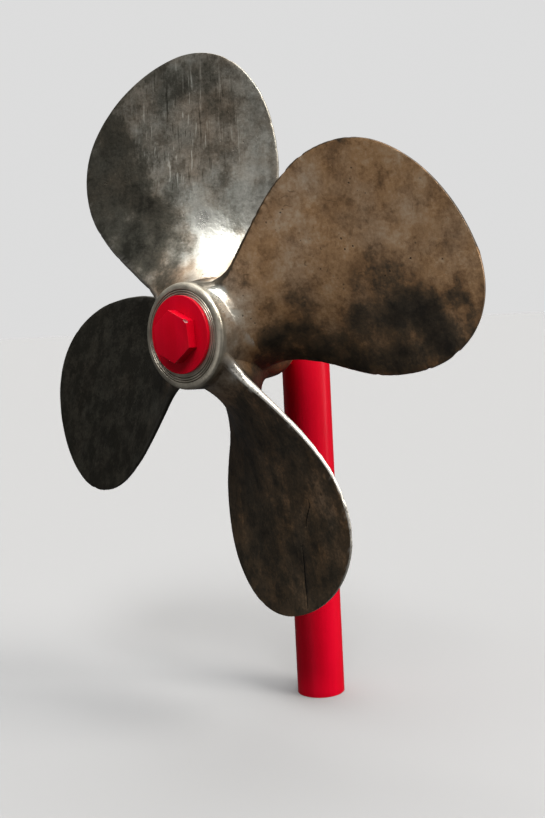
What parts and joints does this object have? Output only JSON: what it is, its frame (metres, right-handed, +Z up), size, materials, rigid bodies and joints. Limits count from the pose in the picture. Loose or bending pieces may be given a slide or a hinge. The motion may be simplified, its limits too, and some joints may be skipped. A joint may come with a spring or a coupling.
{
  "type": "ship propeller on a display post",
  "caption": "Right-handed bronze ship propeller clamped on a horizontal arm by a round disc and a hexagonal nut, carried by a round red steel post.",
  "frame": {"origin": "centre of the post's foot, at ground level", "axes": "+Z up along the post, -Y towards the nut along the shaft line, +X to the right seen from the nut"},
  "size_m": [2.402, 0.9941, 2.901],
  "materials": {
    "bronze": "weathered cast bronze, brown and grey with dull gloss, brighter on the turned collar",
    "red_paint": "glossy crimson paint on steel",
    "steel": "bare machined steel, out of sight",
    "concrete": "plain concrete, out of sight"
  },
  "bodies": {
    "root": {"propeller": "bronze", "retaining_disc": "red_paint", "hex_nut": "red_paint", "nut_stud": "steel", "arm_plug": "steel", "arm_pipe": "red_paint", "arm_rear_cap": "red_paint", "aft_centring_ring": "steel", "forward_centring_ring": "steel", "locking_key": "steel", "thrust_collar": "red_paint", "upper_gusset": "red_paint", "lower_gusset": "red_paint", "post_pipe": "red_paint", "post_cap": "red_paint", "post_concrete_core": "concrete"}
  },
  "joints": []
}
